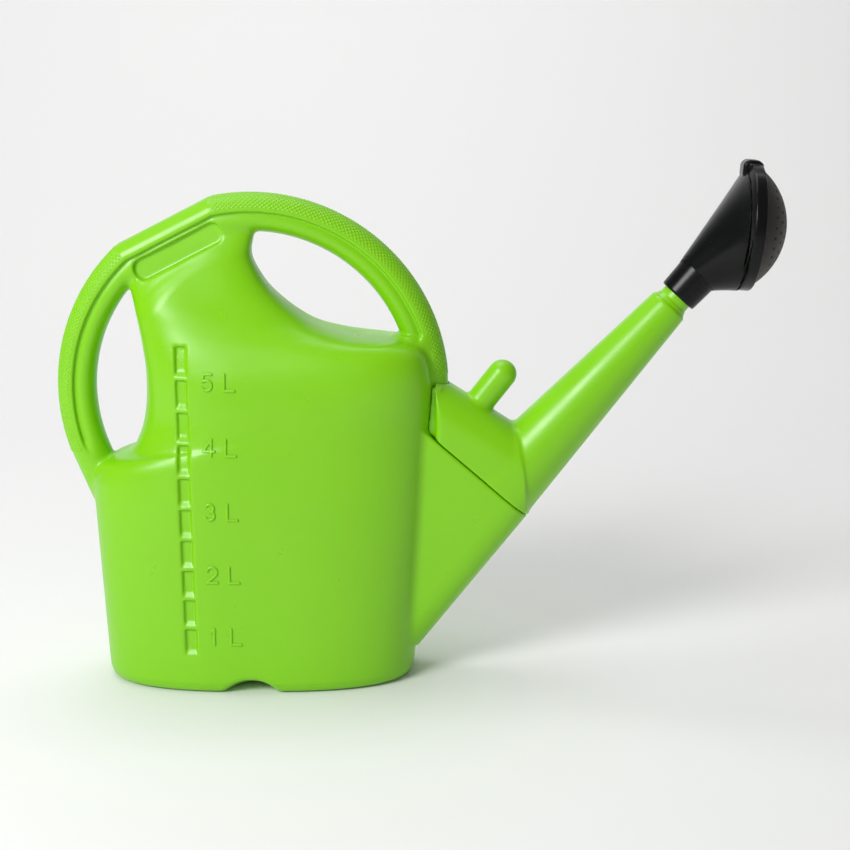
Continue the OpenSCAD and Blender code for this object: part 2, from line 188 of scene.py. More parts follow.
class Loft:
    """A closed form through flat slices that stand across the x-z plane.

    For each point of the x-z plane it knows where along its slice the point lies, and the
    slice's half width, so the form is the set |u|^p + |y / half width|^p < 1."""

    STEP = 1.0

    def __init__(self, rows, power, grow=0.0, dense=900):
        rows = np.array(rows, float)
        self.p, self.grow = power, grow
        t = np.linspace(0, len(rows) - 1, dense)
        i = np.clip(t.astype(int), 0, len(rows) - 2)
        f = (t - i)[:, None]
        before, after = rows[np.maximum(i - 1, 0)], rows[np.minimum(i + 2, len(rows) - 1)]
        a, b = rows[i], rows[i + 1]
        # Catmull-Rom through the slices, with its slopes held so that no slice overtakes another
        most = 3 * np.abs(b - a)
        ta, tb = np.clip((b - before) / 2, -most, most), np.clip((after - a) / 2, -most, most)
        self.rows = ((2 * f**3 - 3 * f**2 + 1) * a + (f**3 - 2 * f**2 + f) * ta
                     + (3 * f**2 - 2 * f**3) * b + (f**3 - f**2) * tb)
        lo = rows[:, [0, 1]].min(0), rows[:, [2, 3]].min(0)
        hi = rows[:, [0, 1]].max(0), rows[:, [2, 3]].max(0)
        self.lo = np.minimum(*lo) - 25
        self.n = np.ceil((np.maximum(*hi) + 25 - self.lo) / self.STEP).astype(int) + 1
        gx = self.lo[0] + self.STEP * np.arange(self.n[0])[:, None]
        gz = self.lo[1] + self.STEP * np.arange(self.n[1])[None, :]
        found = np.zeros((self.n[0], self.n[1]))
        last = None
        done = np.zeros(found.shape, bool)
        for k, (rx, rz, fx, fz, _) in enumerate(self.rows):
            side = ((fx - rx) * (gz - rz) - (fz - rz) * (gx - rx)) / math.hypot(fx - rx, fz - rz)
            if last is not None:
                hit = ~done & (side <= 0) & (last > 0)
                share = last / np.maximum(last - side, 1e-9)
                found = np.where(hit, k - 1 + share, found)
                done |= hit
                low = (side <= 0) & (last <= 0) & ~done
                found = np.where(low, 0, found)
            last = side
        found = np.where(~done & (last > 0), dense - 1.0, found)
        k = np.clip(found.astype(int), 0, dense - 2)
        share = (found - k)[..., None]
        row = self.rows[k] * (1 - share) + self.rows[k + 1] * share
        middle = (row[..., 0:2] + row[..., 2:4]) / 2
        run = row[..., 2:4] - row[..., 0:2]
        half = np.hypot(run[..., 0], run[..., 1]) / 2
        du = ((gx - middle[..., 0]) * run[..., 0] + (gz - middle[..., 1]) * run[..., 1]) / (2 * half)
        outline = self.rows[np.linspace(0, dense - 1, 90).astype(int)]
        outline = [(r[0], r[1]) for r in outline] + [(r[2], r[3]) for r in outline[::-1]]
        self.maps = [(du / half).astype(np.float32), row[..., 4].astype(np.float32),
                     polygon(outline, gx, gz).astype(np.float32)]

    def sample(self, x, z):
        fx = np.clip((x - self.lo[0]) / self.STEP, 0, self.n[0] - 1.001)
        fz = np.clip((z - self.lo[1]) / self.STEP, 0, self.n[1] - 1.001)
        fx, fz = np.broadcast_arrays(fx, fz)
        i, j = fx.astype(int), fz.astype(int)
        a, b = (fx - i).astype(np.float32), (fz - j).astype(np.float32)
        return [(m[i, j] * (1 - a) + m[i + 1, j] * a) * (1 - b)
                + (m[i, j + 1] * (1 - a) + m[i + 1, j + 1] * a) * b for m in self.maps]

    def g(self, x, y, z):
        u, hw, _ = self.sample(x, z)
        p = self.p + self.grow * smooth(z, 190, 245)
        return (np.abs(u) ** p + np.abs(y / hw) ** p) ** (1 / p) - 1

    def distance(self, x, y, z):
        e = 0.7
        g = self.g(x, y, z)
        gx = (self.g(x + e, y, z) - self.g(x - e, y, z)) / (2 * e)
        gz = (self.g(x, y, z + e) - self.g(x, y, z - e)) / (2 * e)
        gy = (self.g(x, np.abs(y) + e, z) - g) / e
        slope = np.sqrt(gx * gx + gy * gy + gz * gz)
        form = np.clip(g / np.maximum(slope, 1e-3), -25, 40)
        beside = self.sample(x, z)[2]
        return np.where(beside > 0, np.maximum(form, beside), form)


# ---------------------------------------------------------------- fields to meshes

def axes(lo, hi, cell):
    """Three open grids that cover a box."""
    n = [int(math.ceil((b - a) / cell)) + 1 for a, b in zip(lo, hi)]
    g = [(a + cell * np.arange(k)).astype(np.float32) for a, k in zip(lo, n)]
    return g[0][:, None, None], g[1][None, :, None], g[2][None, None, :]


def surface_net(field, lo, cell):
    """Vertices and quads on the zero of a field, one vertex in each cell that it crosses."""
    n = np.array(field.shape)
    inside = field < 0
    corner = [(i, j, k) for i in (0, 1) for j in (0, 1) for k in (0, 1)]
    total = np.zeros(n - 1, np.int8)
    for c in corner:
        total += inside[c[0]:n[0] - 1 + c[0], c[1]:n[1] - 1 + c[1], c[2]:n[2] - 1 + c[2]]
    cells = np.argwhere((total > 0) & (total < 8))
    value = {c: field[tuple((cells + c).T)] for c in corner}
    weight = np.zeros(len(cells))
    place = np.zeros((len(cells), 3))
    for a in corner:
        for axis in range(3):
            if a[axis]:
                continue
            b = tuple(1 if k == axis else a[k] for k in range(3))
            va, vb = value[a], value[b]
            cut = (va < 0) != (vb < 0)
            t = np.where(cut, va / np.where(cut, va - vb, 1), 0)
            point = np.array(a) + t[:, None] * (np.array(b) - np.array(a))
            place += np.where(cut[:, None], point, 0)
            weight += cut
    points = lo + cell * (cells + place / weight[:, None])
    number = np.full(n - 1, -1, np.int32)
    number[tuple(cells.T)] = np.arange(len(cells))
    quads = []
    for axis in range(3):
        o1, o2 = [k for k in range(3) if k != axis]
        span = [slice(0, n[k] - 1) if k == axis else slice(1, n[k] - 1) for k in range(3)]
        nxt = [slice(1, n[k]) if k == axis else slice(1, n[k] - 1) for k in range(3)]
        start, end = inside[tuple(span)], inside[tuple(nxt)]
        at = np.argwhere(start != end)
        out = start[tuple(at.T)]
        at = at + [0 if k == axis else 1 for k in range(3)]
        ring = []
        for d1, d2 in ((1, 1), (0, 1), (0, 0), (1, 0)):
            c = at.copy()
            c[:, o1] -= d1
            c[:, o2] -= d2
            ring.append(number[tuple(c.T)])
        quad = np.stack(ring, 1)
        turn = out if axis != 1 else ~out
        quads.append(np.where(turn[:, None], quad, quad[:, ::-1]))
    return points, np.concatenate(quads)


def settle(points, field, lo, cell, rounds=3):
    """Moves the vertices on to the field's zero."""
    n = np.array(field.shape)

    def read(p):
        q = np.clip((p - lo) / cell, 0, n - 1.001)
        i = q.astype(int)
        f = q - i
        out = 0
        for c in ((a, b, d) for a in (0, 1) for b in (0, 1) for d in (0, 1)):
            w = np.prod([f[:, k] if c[k] else 1 - f[:, k] for k in range(3)], axis=0)
            out = out + w * field[tuple((i + c).T)]
        return out

    e = 0.6 * cell
    step = np.eye(3) * e
    for _ in range(rounds):
        grad = np.stack([(read(points + s) - read(points - s)) / (2 * e) for s in step], 1)
        size = (grad**2).sum(1)
        move = -(read(points) / np.maximum(size, 0.05))[:, None] * grad
        length = np.linalg.norm(move, axis=1, keepdims=True)
        points = points + move * np.minimum(1, 0.4 * cell / np.maximum(length, 1e-9))
    return points


def new_object(name, points, faces, material, body, nodes):
    """A mesh piece from points in millimetres and an array of quads or triangles."""
    mesh = bpy.data.meshes.new(name)
    mesh.vertices.add(len(points))
    mesh.vertices.foreach_set("co", (np.asarray(points, np.float32) * MM).ravel())
    side = faces.shape[1]
    mesh.loops.add(faces.size)
    mesh.loops.foreach_set("vertex_index", faces.astype(np.int32).ravel())
    mesh.polygons.add(len(faces))
    mesh.polygons.foreach_set("loop_start", np.arange(0, faces.size, side, dtype=np.int32))
    mesh.update(calc_edges=True)
    mesh.validate()
    mesh.polygons.foreach_set("use_smooth", np.ones(len(mesh.polygons), bool))
    mesh.materials.append(material)
    obj = bpy.data.objects.new(name, mesh)
    bpy.context.scene.collection.objects.link(obj)
    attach(obj, body)
    if nodes:
        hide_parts(*nodes)
    return obj


def moulding(name, form, lo, hi, cell, material, body, nodes):
    """Meshes a field over a box and makes it a piece."""
    lo, hi = np.array(lo, float), np.array(hi, float)
    field = form(*axes(lo, hi, cell)).astype(np.float32)
    points, quads = surface_net(field, lo, cell)
    points = settle(points, field, lo, cell)
    return new_object(name, points, quads, material, body, nodes)


# ---------------------------------------------------------------- the can's forms

tank_loft = Loft(STATIONS, PLAN_POWER, NECK_POWER)
half_bridge = (BRIDGE_REAR - BRIDGE_FRONT) / 2
bridge_mid = (BRIDGE_REAR + BRIDGE_FRONT) / 2


def arch_place(x, z):
    """Radius about the handle's centre, made straight along the bridge, and the angle."""
    dx, dz = x - ARCH[0], z - ARCH[1]
    r = np.hypot(dx, dz)
    angle = np.arctan2(dz, dx) / DEG
    angle = np.where(angle < -90, angle + 360, angle)
    straight = dx * math.cos(bridge_mid * DEG) + dz * math.sin(bridge_mid * DEG)
    straight = straight + ARCH_R * (1 - math.cos(half_bridge * DEG))
    w = smooth(angle, BRIDGE_FRONT - 1.2, BRIDGE_FRONT + 1.6)
    w = w * (1 - smooth(angle, BRIDGE_REAR - 1.6, BRIDGE_REAR + 1.2))
    tangent = dx * math.cos(REAR_END * DEG) + dz * math.sin(REAR_END * DEG)
    rho = np.where(angle > REAR_END, tangent, r + (straight - r) * w)
    return rho, r, angle


def past_rear_end(x, z):
    """How far a point lies down the straight run that follows the handle's rear end."""
    return -(x - ARCH[0]) * math.sin(REAR_END * DEG) + (z - ARCH[1]) * math.cos(REAR_END * DEG)


def handle_section(rho, y):
    """Wide lobe outside a narrow groove, and a bead on the hand's side."""
    lobe = ellipse(rho - GROOVE_R, y, ARCH_R - GROOVE_R, GRIP_HW)
    lobe = smax(lobe, GROOVE_R - 0.4 - rho, 1.6)
    bead = ellipse(rho - HAND_R - BEAD_H, y, BEAD_H, BEAD_HW)
    core = ellipse(rho - (ARCH_R + HAND_R) / 2, y, 12.5, GRIP_HW - 3.6)
    return smin(smin(lobe, bead, 1.8), core, 1.0)


def neck_limit(x, y, z, r):
    """The neck draws in to the handle's width as it nears the ring."""
    half = np.interp(r, [70, 84, 90, 96, 102, 108, 114, 125],
                     [75, 46, 36.5, 28.5, 22, 17.2, 13.8, 12.6])
    half = half + 2.5 * np.maximum(0, 248 - z) + 1.6 * np.maximum(0, x - 6)
    slope = np.clip((r - 74) / 30, 0, 1) * 0.9
    return (np.abs(y) - half) / np.sqrt(1 + slope * slope)


def tank_form(x, y, z):
    _, r, _ = arch_place(x, z)
    form = tank_loft.distance(x, y, z)
    return smax(form, neck_limit(x, y, z, r), 9.0)


def base_notch(x, y, z):
    """Finger notch moulded up into the base edge, one on each long side."""
    t = (62 - np.abs(y)) / 26
    return np.hypot(x - NOTCH_AT[0], z - NOTCH_AT[1] + 7.5 * t) - (NOTCH_R - 3 * t)


def mouth_place(x, z):
    """Coordinates along the bridge and out from the handle's centre."""
    forward, side = along(ARCH, bridge_mid, x, z)
    return side, forward


def windows(x, y, z, surface):
    """Litre scale: each window is deep at its top and ramps up to the wall at its foot."""
    depth = -surface
    across = np.abs(x - SCALE_X + SCALE_LEAN * (z - 44)) - WINDOW_W / 2 + 0.55 * depth
    out = None
    for k in range(10):
        low, high = (SCALE_LOW + SCALE_STEP * s + SCALE_GROW * s * s for s in (k, k + 1))
        ramp = low + 0.8 + 1.7 * depth - z
        ramp = smax(ramp / 2.0, depth - WINDOW_DEEP, 0.8)
        one = smax(np.maximum(ramp, across), z - high + 0.8 + 0.2 * depth, 0.4)
        out = one if out is None else np.minimum(out, one)
    return out


def can_form(x, y, z):
    rho, r, angle = arch_place(x, z)
    tank = tank_form(x, y, z)
    # Ring handle, whose rear end runs straight down into the tank's wall
    run_out = past_rear_end(x, z)
    low_end = np.where(angle > 90, run_out - RUN_OUT, (FRONT_END - angle) * DEG * 128)
    plain = ellipse(rho - (ARCH_R + HAND_R) / 2, y, (ARCH_R - HAND_R) / 2, GRIP_HW - 0.4)
    faded = smooth(np.where(angle > 90, run_out, -50), -14, 4)
    ring = handle_section(rho, y)
    ring = smax(ring + (plain - ring) * faded, low_end, 6.0)
    inner = r - HAND_R
    beyond = inner - 6 - 3 * np.maximum(0, 205 - z) - 1.5 * np.maximum(0, 34 - angle)
    tank = smax(tank, beyond, 1.0)
    fillet = 4.0 + 9.0 * smooth(x, 40, 90) * smooth(z, 238, 256)
    body = smin(tank, ring, fillet)
    # Wedge that carries the spout
    wedge = polygon([ROOT_LOW, SEAM_LOW, SEAM_TOP, (124, 186), (100, 190), (100, 40)], x, z)
    wedge = smax(wedge, half_plane(SEAM_TOP, SEAM_LOW, x, z) + SEAM_GAP, 1.8)
    low = half_plane(SEAM_LOW, ROOT_LOW, x, z)
    wedge = smax(wedge, smax(np.abs(y) - ROOT_HW, low, 22.0), 1.0)
    body = smin(body, wedge, 3.5)
    # Sunk panel under the bar on the near side, filling mouth on the far side
    s, q = mouth_place(x, z)
    panel = round_rect(s + 0.8, q - (PANEL_LOW + PANEL_HIGH) / 2, PANEL_HALF,
                       (PANEL_HIGH - PANEL_LOW) / 2, 6.5)
    floor = y + PANEL_Y + PANEL_LEAN * (PANEL_HIGH - q)
    body = smax(body, -smax(panel, floor, 1.5), 1.2)
    body = smax(body, -base_notch(x, y, z), 3.0)
    body = smax(body, -z, 1.5)
    body = smax(body, -np.where(y < 0, windows(x, y, z, tank), 50.0), 0.7)
    # Hollow inside, with the panel and the notches kept thick
    hollow = smax(tank + WALL, WALL - z, 6.0)
    hollow = smax(hollow, inner + WALL - 3 * np.maximum(0, 214 - z), 2.0)
    hollow = np.maximum(hollow, WALL - base_notch(x, y, z))
    hollow = np.maximum(hollow, WALL + 1 - np.maximum(panel, floor))
    near_scale = np.maximum(np.abs(x - SCALE_X + 2) - 11, y)
    hollow = np.where(near_scale < 0, np.maximum(hollow, tank + WALL + WINDOW_DEEP), hollow)
    mouth = smax(round_rect(s, q - MOUTH_OUT, *MOUTH_HALF, MOUTH_CORNER), -2 - y, 1.0)
    hollow = smin(hollow, mouth, 2.0)
    return smax(body, -hollow, 1.6)


def cone_r(back):
    return CONE_TIP_R + CONE_GROW * back


def spout_form(x, y, z):
    forward, side = along(CONE_END, SPOUT_TILT, x, z)
    radius = np.hypot(side, y)
    cone = (radius - cone_r(-forward)) / math.hypot(1, CONE_GROW)
    cone = smax(cone, forward, 2.6)
    cone = smax(cone, np.abs(y) - BLOCK_HW + 0.3, 1.5)
    # Flat-sided shoulder that sits on the tank's wedge
    block = polygon([(BLOCK_TOP[0], 140), BLOCK_TOP, CREASE, CREASE_LOW, SEAM_LOW, (197, 110)], x, z)
    block = smax(block, np.abs(y) - BLOCK_HW, 6.0 - 5.2 * smooth(x, 140, 170))
    low = half_plane(SEAM_LOW, ROOT_LOW, x, z)
    block = smax(block, smax(np.abs(y) - BLOCK_HW, low, 22.0), 1.0)
    roof = half_plane(BLOCK_TOP, CREASE, x, z)
    block = smax(block, smax(np.abs(y) - BLOCK_HW, roof, 28.0), 1.0)
    heel = polygon([(104, 174), (104, 218), (134, 218), (134, 174)], x, z)
    block = smin(block, smax(heel, np.abs(y) - HEEL_HW, 3.0), 1.2)
    body = smin(block, smax(cone, -CONE_BACK - forward, 1.0), 4.0)
    tip = smax(radius - TIP_R, forward - TIP_LEN, 1.6)
    tip = smax(tip, -20 - forward, 1.0)
    collar = smax(radius - TIP_R - 1.1, np.abs(forward - 1.2) - 1.4, 1.0)
    body = smin(body, smin(tip, collar, 0.8), 1.4)
    peg_f, peg_s = along(PEG_TOP, PEG_TILT, x, z)
    peg_side = np.hypot(peg_s, y)
    peg = np.hypot(np.maximum(peg_f, 0), peg_side) - PEG_R
    peg = np.maximum(peg, -32 - peg_f)
    body = smin(body, peg, 3.4)
    # Seam with the wedge, the bore, and the place of the tank's round front
    seam = half_plane(SEAM_TOP, SEAM_LOW, x, z)
    body = smax(body, SEAM_GAP - seam, 1.8)
    cone_bore = cone_r(-forward) - CONE_WALL + BORE_DRAFT * forward
    bore = radius - np.where(forward > 0, BORE_R, cone_bore)
    body = smax(body, -np.maximum(bore, -BORE_BACK - forward), 0.8)
    rho, _, angle = arch_place(x, z)
    can = np.minimum(tank_loft.distance(x, y, z), np.where(angle > -4, handle_section(rho, y), 50.0))
    return np.maximum(body, 0.35 - can)


# ---------------------------------------------------------------- the raised numerals

def arc_points(cx, cz, r, a0, a1, n=9):
    return [(cx + r * math.cos((a0 + (a1 - a0) * i / n) * DEG),
             cz + r * math.sin((a0 + (a1 - a0) * i / n) * DEG)) for i in range(n + 1)]


def glyph(c):
    """Strokes of a plain numeral in a box of height 1."""
    return {
        "1": [[(0.12, 0.78), (0.34, 1), (0.34, 0)]],
        "2": [arc_points(0.32, 0.69, 0.31, 165, -35) + [(0, 0), (0.66, 0)]],
        "3": [arc_points(0.3, 0.75, 0.25, 150, -80) + arc_points(0.3, 0.29, 0.29, 80, -150)],
        "4": [[(0.5, 0), (0.5, 1), (0, 0.28), (0.7, 0.28)]],
        "5": [[(0.6, 1), (0.12, 1), (0.06, 0.56)] + arc_points(0.3, 0.32, 0.32, 125, -145)],
        "L": [[(0, 1), (0, 0), (0.62, 0)]],
    }[c]


def stroke_distance(strokes, x, z):
    best = np.full(np.broadcast(x, z).shape, 1e6, np.float32)
    for line in strokes:
        for (ax, az), (bx, bz) in zip(line, line[1:]):
            ex, ez = bx - ax, bz - az
            t = np.clip(((x - ax) * ex + (z - az) * ez) / max(ex * ex + ez * ez, 1e-9), 0, 1)
            best = np.minimum(best, np.hypot(x - ax - t * ex, z - az - t * ez))
    return best


def litre_marks(material):
    points, quads, count = [], [], 0
    for litre in range(1, 6):
        low = LABEL_LOW_1 + (litre - 1) * LABEL_STEP
        left = LABEL_X - (litre - 1) * LABEL_LEAN
        strokes = []
        for c, shift in ((str(litre), 0), ("L", 16)):
            for line in glyph(c):
                strokes.append([(left + shift + p * LABEL_H, low + q * LABEL_H) for p, q in line])
        lo = np.array([left - 3, -62.0, low - 3])
        hi = np.array([left + 28, -36.0, low + LABEL_H + 3])
        x, y, z = axes(lo, hi, DIGIT_CELL)
        wall = tank_form(x, y, z)
        foot = stroke_distance(strokes, x, z)
        field = smax(foot - STROKE_R - 0.25 * np.clip(-wall, -1, 1), wall - LABEL_RISE, 0.9)
        field = np.maximum(field, -0.8 - wall).astype(np.float32)
        p, q = surface_net(field, lo, DIGIT_CELL)
        points.append(settle(p, field, lo, DIGIT_CELL, 2))
        quads.append(q + count)
        count += len(p)
    return new_object("litre_numerals", np.concatenate(points), np.concatenate(quads), material,
                      "can", ["litre_marks"])


# ---------------------------------------------------------------- knurled grips

KNURL_PITCH = 3.5
KNURL_RISE = 0.5


def knurled_grip(name, start, end, node, material):
    """Skin over the handle's crown with a staggered field of small rounded diamonds."""
    step = 0.42
    arc = (end - start) * DEG * ARCH_R
    rows = int(arc / step)
    across = 110
    a = np.linspace(start, end, rows)[:, None] * DEG
    reach = 80.0
    phi = np.linspace(-reach, reach, across)[None, :] * DEG
    lengthwise = (a / DEG - start) * DEG * ARCH_R
    crosswise = phi * (GRIP_HW + ARCH_R - GROOVE_R) / 2
    turn = 2 * math.pi / KNURL_PITCH
    bump = np.clip(np.cos(turn * lengthwise) * np.cos(turn * crosswise), -0.15, 1)
    from_side = (reach * DEG - np.abs(phi)) * 13.5
    from_end = np.minimum(lengthwise, arc - lengthwise)
    edge = np.minimum(from_side, from_end)
    rise = -0.45 + 0.5 * smooth(edge, 0, 0.7) + KNURL_RISE * bump * smooth(edge, 0.6, 1.6)
    rho = GROOVE_R + (ARCH_R - GROOVE_R + rise) * np.cos(phi)
    y = (GRIP_HW + rise) * np.sin(phi)
    top = np.stack([ARCH[0] + rho * np.cos(a), y + 0 * a, ARCH[1] + rho * np.sin(a)], -1)
    rho = GROOVE_R + (ARCH_R - GROOVE_R - 0.9) * np.cos(phi)
    y = (GRIP_HW - 0.9) * np.sin(phi)
    under = np.stack([ARCH[0] + rho * np.cos(a), y + 0 * a, ARCH[1] + rho * np.sin(a)], -1)
    number = np.arange(rows * across).reshape(rows, across)
    quads = np.stack([number[:-1, :-1], number[1:, :-1], number[1:, 1:], number[:-1, 1:]], -1)
    quads = quads.reshape(-1, 4)
    total = rows * across
    rim = np.concatenate([number[0, :], number[1:, -1], number[-1, -2::-1], number[-2:0:-1, 0]])
    nxt = np.roll(rim, -1)
    wall = np.stack([rim, nxt, nxt + total, rim + total], -1)
    faces = np.concatenate([quads[:, ::-1], quads + total, wall])
    points = np.concatenate([top.reshape(-1, 3), under.reshape(-1, 3)])
    return new_object(name, points, faces, material, "can", [node])


# ---------------------------------------------------------------- the rose's forms

def on_spout(forward):
    return (CONE_END[0] + forward * SPOUT_DIR[0], CONE_END[1] + forward * SPOUT_DIR[1])


def hood_rows(count=26):
    """Rings whose tops lie on one straight line from the socket up to the rim."""
    start = on_spout(SOCKET_START + 2)
    low = (start[0] - (SOCKET_R - 1) * SPOUT_DIR[1], start[1] + (SOCKET_R - 1) * SPOUT_DIR[0])
    tilt = RIM_TILT * DEG
    high = (RIM_C[0] - HOOD_R * math.sin(tilt), RIM_C[1] + HOOD_R * math.cos(tilt))
    rows = []
    for k in range(count):
        t = 1.04 * k / (count - 1)      # runs on a little, and is cut off inside the rim
        a = (SPOUT_TILT + (RIM_TILT - SPOUT_TILT) * t) * DEG
        r = 7.5 + (HOOD_R - 7.5) * t
        top = (low[0] + (high[0] - low[0]) * t, low[1] + (high[1] - low[1]) * t)
        bottom = (top[0] + 2 * r * math.sin(a), top[1] - 2 * r * math.cos(a))
        rows.append((top[0], top[1], bottom[0], bottom[1], r))
    return rows


def socket_form(x, y, z):
    """The socket before it is bored, with the place along the spout and the radius."""
    forward, side = along(CONE_END, SPOUT_TILT, x, z)
    f = forward - SOCKET_START
    radius = np.hypot(side, y)
    outside = radius - SOCKET_R - SOCKET_FLARE * f / SOCKET_LEN
    form = smax(outside, np.abs(f - SOCKET_LEN / 2) - SOCKET_LEN / 2, 1.6)
    return form, forward, radius


def rose_socket(x, y, z):
    """Sleeve over the spout's tip, with a shoulder that the tip's end meets."""
    form, forward, radius = socket_form(x, y, z)
    bore = radius - np.where(forward < TIP_LEN + 0.5, TIP_R + 0.2, BORE_R)
    return smax(form, -bore, 0.8)


hood_loft = Loft(hood_rows(), 2.0)


def rose_hood(x, y, z):
    """Shell of the hood, open towards the spray face and kept off the socket."""
    forward, side = along(RIM_C, RIM_TILT, x, z)
    form = hood_loft.distance(x, y, z)
    form = smax(form, forward - 0.4, 0.6)
    start = along(on_spout(SOCKET_START + 2), SPOUT_TILT, x, z)[0]
    form = smax(form, -start, 1.0)
    hollow = smax(form + ROSE_WALL, forward - 3, 1.0)
    hollow = np.minimum(hollow, np.maximum(np.hypot(side, y) - HOOD_R + 4, np.abs(forward) - 2.2))
    shell = smax(form, -hollow, 0.6)
    return np.maximum(shell, ROSE_GAP - socket_form(x, y, z)[0])


def rose_rim(x, y, z):
    """Band around the spray face, with a thumb tab at its top."""
    forward, side = along(RIM_C, RIM_TILT, x, z)
    radius = np.hypot(side, y)
    band = smax(radius - RIM_R, np.abs(forward - RIM_LEN / 2) - RIM_LEN / 2, 1.6)
    tab = round_rect(forward - RIM_LEN / 2 + 2.4, side - RIM_R + 5.2, 7.2, 7.4, 5.0)
    tab = smax(tab, np.abs(y) - 8.0, 2.5)
    form = smin(band, tab, 2.0)
    hole = np.maximum(radius - (RIM_R - RIM_WALL), -0.8 - forward)
    return smax(form, -hole, 0.9)


def rose_face(x, y, z):
    """Thin dome pierced by rings of spray holes."""
    forward, side = along(RIM_C, RIM_TILT, x, z)
    forward = forward - RIM_LEN
    radius = np.hypot(side, y)
    seat = RIM_R - RIM_WALL
    ball = (seat * seat + DOME_H * DOME_H) / (2 * DOME_H)
    skin = np.hypot(forward - DOME_H + ball, radius) - ball
    form = smax(skin, -skin - ROSE_WALL, 0.3)
    form = smax(form, smax(radius - seat + ROSE_GAP, -3.5 - forward, 0.5), 0.6)
    gap = (seat - 8) / HOLE_RINGS
    holes = radius - HOLE_R
    for ring in range(1, HOLE_RINGS + 1):
        for i in range(6 * ring):
            a = 2 * math.pi * i / (6 * ring)
            at = np.hypot(side - ring * gap * math.cos(a), y - ring * gap * math.sin(a))
            holes = np.minimum(holes, at - HOLE_R)
    return smax(form, -holes, 0.35)


# ---------------------------------------------------------------- materials

def node_material(name):
    material = bpy.data.materials.new(name)
    material.use_nodes = True
    tree = material.node_tree
    shader = tree.nodes["Principled BSDF"]
    return material, tree, shader


def noise(tree, scale, detail=3.0, rough=0.55):
    place = tree.nodes.new("ShaderNodeTexCoord")
    node = tree.nodes.new("ShaderNodeTexNoise")
    node.inputs["Scale"].default_value = scale
    node.inputs["Detail"].default_value = detail
    node.inputs["Roughness"].default_value = rough
    tree.links.new(place.outputs["Object"], node.inputs["Vector"])
    return node.outputs["Fac"]


def ramp(tree, fac, stops):
    node = tree.nodes.new("ShaderNodeValToRGB")
    node.color_ramp.elements[0].position = stops[0][0]
    node.color_ramp.elements[0].color = stops[0][1]
    node.color_ramp.elements[1].position = stops[-1][0]
    node.color_ramp.elements[1].color = stops[-1][1]
    for at, colour in stops[1:-1]:
        node.color_ramp.elements.new(at).color = colour
    tree.links.new(fac, node.inputs["Fac"])
    return node.outputs["Color"]


def bumps(tree, shader, layers):
    """Chains bump layers of (height, distance in metres, strength)."""
    last = None
    for height, distance, strength in layers:
        node = tree.nodes.new("ShaderNodeBump")
        node.inputs["Distance"].default_value = distance
        node.inputs["Strength"].default_value = strength
        tree.links.new(height, node.inputs["Height"])
        if last is not None:
            tree.links.new(last, node.inputs["Normal"])
        last = node.outputs["Normal"]
    tree.links.new(last, shader.inputs["Normal"])


def scaled(colour, k):
    return tuple(min(1.0, c * k) for c in colour[:3]) + (1.0,)


def plastic(name, colour, roughness, spread, grain, subsurface=0.0, specular=0.5):
    """Moulded plastic: cloudy colour and gloss, a fine grain, and faint flow marks."""
    material, tree, shader = node_material(name)
    cloud = noise(tree, 7.0, 4.0)
    tint = ramp(tree, cloud, [(0.3, scaled(colour, 1 - spread)), (0.7, scaled(colour, 1 + spread))])
    tree.links.new(tint, shader.inputs["Base Color"])
    gloss = noise(tree, 45.0, 5.0, 0.65)
    low, high = roughness - 0.05, roughness + 0.05
    sheen = ramp(tree, gloss, [(0.3, (low, low, low, 1)), (0.7, (high, high, high, 1))])
    tree.links.new(sheen, shader.inputs["Roughness"])
    shader.inputs["IOR"].default_value = 1.5
    shader.inputs["Specular IOR Level"].default_value = specular
    if subsurface:
        shader.inputs["Subsurface Weight"].default_value = subsurface
        shader.inputs["Subsurface Radius"].default_value = (0.3, 1.0, 0.1)
        shader.inputs["Subsurface Scale"].default_value = 0.004
    bumps(tree, shader, [(noise(tree, 24.0, 2.0), 0.0012, 0.10),
                         (noise(tree, 1500.0, 2.0), 0.00004, grain)])
    return material


GREEN = (0.212, 0.585, 0.001)
green = plastic("lime_moulded_plastic", GREEN, 0.32, 0.03, 0.25, subsurface=0.08)
grip_green = plastic("lime_knurled_plastic", GREEN, 0.40, 0.03, 0.3, subsurface=0.05)
BLACK, FACE_BLACK = (0.002, 0.0022, 0.0026), (0.030, 0.027, 0.022)
black = plastic("black_moulded_plastic", BLACK, 0.25, 0.10, 0.3, specular=0.22)
face_black = plastic("rose_face_plastic", FACE_BLACK, 0.50, 0.08, 0.5, specular=0.3)
rubber = plastic("seal_rubber", (0.02, 0.02, 0.02), 0.7, 0.1, 0.6)

# ---------------------------------------------------------------- pieces

moulding("can_moulding", can_form, (-150, -66, -3), (204, 66, 361), CELL, green, "can",
         ["tank", "handle_bridge", "rear_handle", "front_handle", "spout_root"])
moulding("spout_moulding", spout_form, (112, -31, 116), (326, 31, 306), CELL * 0.8, green, "can",
         ["spout_block", "spout_cone", "spout_tip", "rose_peg"])
litre_marks(green)
knurled_grip("grip_rear", BRIDGE_REAR + 0.5, REAR_END - 2.5, "rear_grip", grip_green)
knurled_grip("grip_front", GRIP_END, BRIDGE_FRONT - 0.5, "front_grip", grip_green)

for name, form, low, high, material, node in (
        ("rose_housing", rose_hood, (286, -48, 270), (362, 48, 384), black, "rose_hood"),
        ("rose_collar", rose_socket, (284, -18, 262), (342, 18, 320), black, "rose_socket"),
        ("rose_bezel", rose_rim, (338, -50, 280), (368, 50, 386), black, "rose_rim"),
        ("rose_spray_face", rose_face, (348, -45, 284), (386, 45, 382), face_black, "rose_face")):
    moulding(name, form, low, high, FINE, material, "rose", [node])
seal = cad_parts["rose_seal"]
seal.data.materials.clear()
seal.data.materials.append(rubber)

# ---------------------------------------------------------------- stage, light and camera

